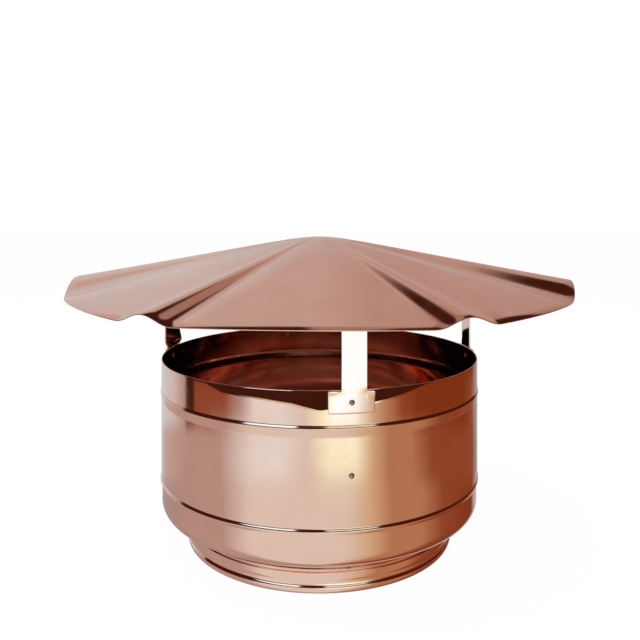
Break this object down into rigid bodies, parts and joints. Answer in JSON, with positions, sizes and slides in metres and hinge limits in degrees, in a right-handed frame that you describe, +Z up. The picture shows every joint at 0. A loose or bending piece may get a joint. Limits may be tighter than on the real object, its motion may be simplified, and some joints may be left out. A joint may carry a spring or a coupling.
{
  "type": "chimney cap",
  "caption": "Round copper flue terminal: a low ribbed cone hat on riveted T-foot straps over a beaded drum that tapers to a spigot collar.",
  "frame": {"origin": "on the axis, at the bottom edge of the collar", "axes": "+Z up along the axis; -Y is the front, where the front strap stands; +X is to the right seen from the front"},
  "size_m": [0.471, 0.471, 0.284],
  "materials": {
    "polished_copper": "polished",
    "dull_copper": "satin"
  },
  "bodies": {
    "root": {"hat": "polished_copper", "strap_front": "polished_copper", "strap_right": "polished_copper", "strap_back": "polished_copper", "strap_left": "polished_copper", "strap_rivets": "dull_copper", "drum": "polished_copper", "taper": "polished_copper", "collar": "polished_copper", "seam_rivets": "dull_copper"}
  },
  "joints": []
}
